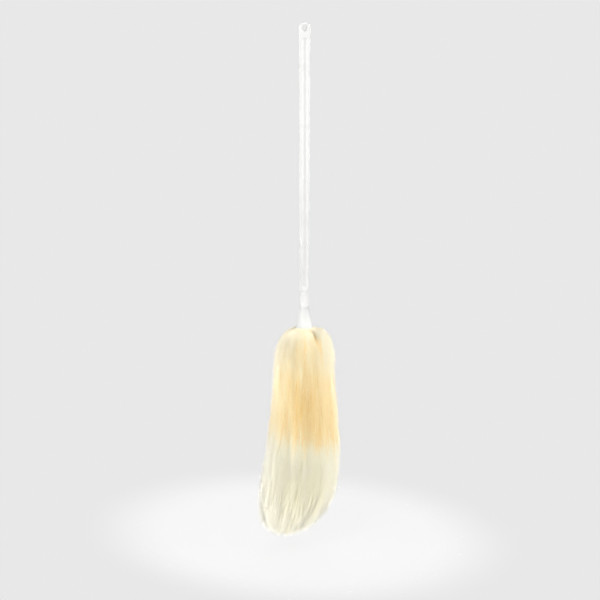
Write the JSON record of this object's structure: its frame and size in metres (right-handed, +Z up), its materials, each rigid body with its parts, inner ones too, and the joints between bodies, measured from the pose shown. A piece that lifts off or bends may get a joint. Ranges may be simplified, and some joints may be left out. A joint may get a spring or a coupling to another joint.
{
  "type": "lambswool duster",
  "caption": "Long hand duster: a slim fluted handle with a hanging eye, a trumpet ferrule and a soft head of lambswool, gold above and cream below.",
  "frame": {"origin": "middle of the hang hole in the eye at the top of the handle", "axes": "+Z up along the handle, away from the wool; +X to the right across the broad face of the handle; +Y through the hang hole, from the front of the handle to the back"},
  "size_m": [0.1084, 0.0936, 0.7097],
  "materials": {
    "handle_plastic": "gloss",
    "ferrule_plastic": "satin",
    "core_plastic": "matte",
    "steel": "satin",
    "hide": "matte",
    "thread": "matte",
    "gold_wool": "matte",
    "cream_wool": "matte"
  },
  "bodies": {
    "root": {"handle": "handle_plastic", "ferrule": "ferrule_plastic", "core_tube": "core_plastic", "core_pin": "steel", "tip_plug": "core_plastic", "gold_hide_strip": "hide", "cream_hide_strip": "hide", "neck_binding": "thread", "gold_strip_tack_top": "steel", "gold_strip_tack_bottom": "steel", "cream_strip_tack_top": "steel", "cream_strip_tack_bottom": "steel", "gold_wool": "gold_wool", "cream_wool": "cream_wool"}
  },
  "joints": []
}
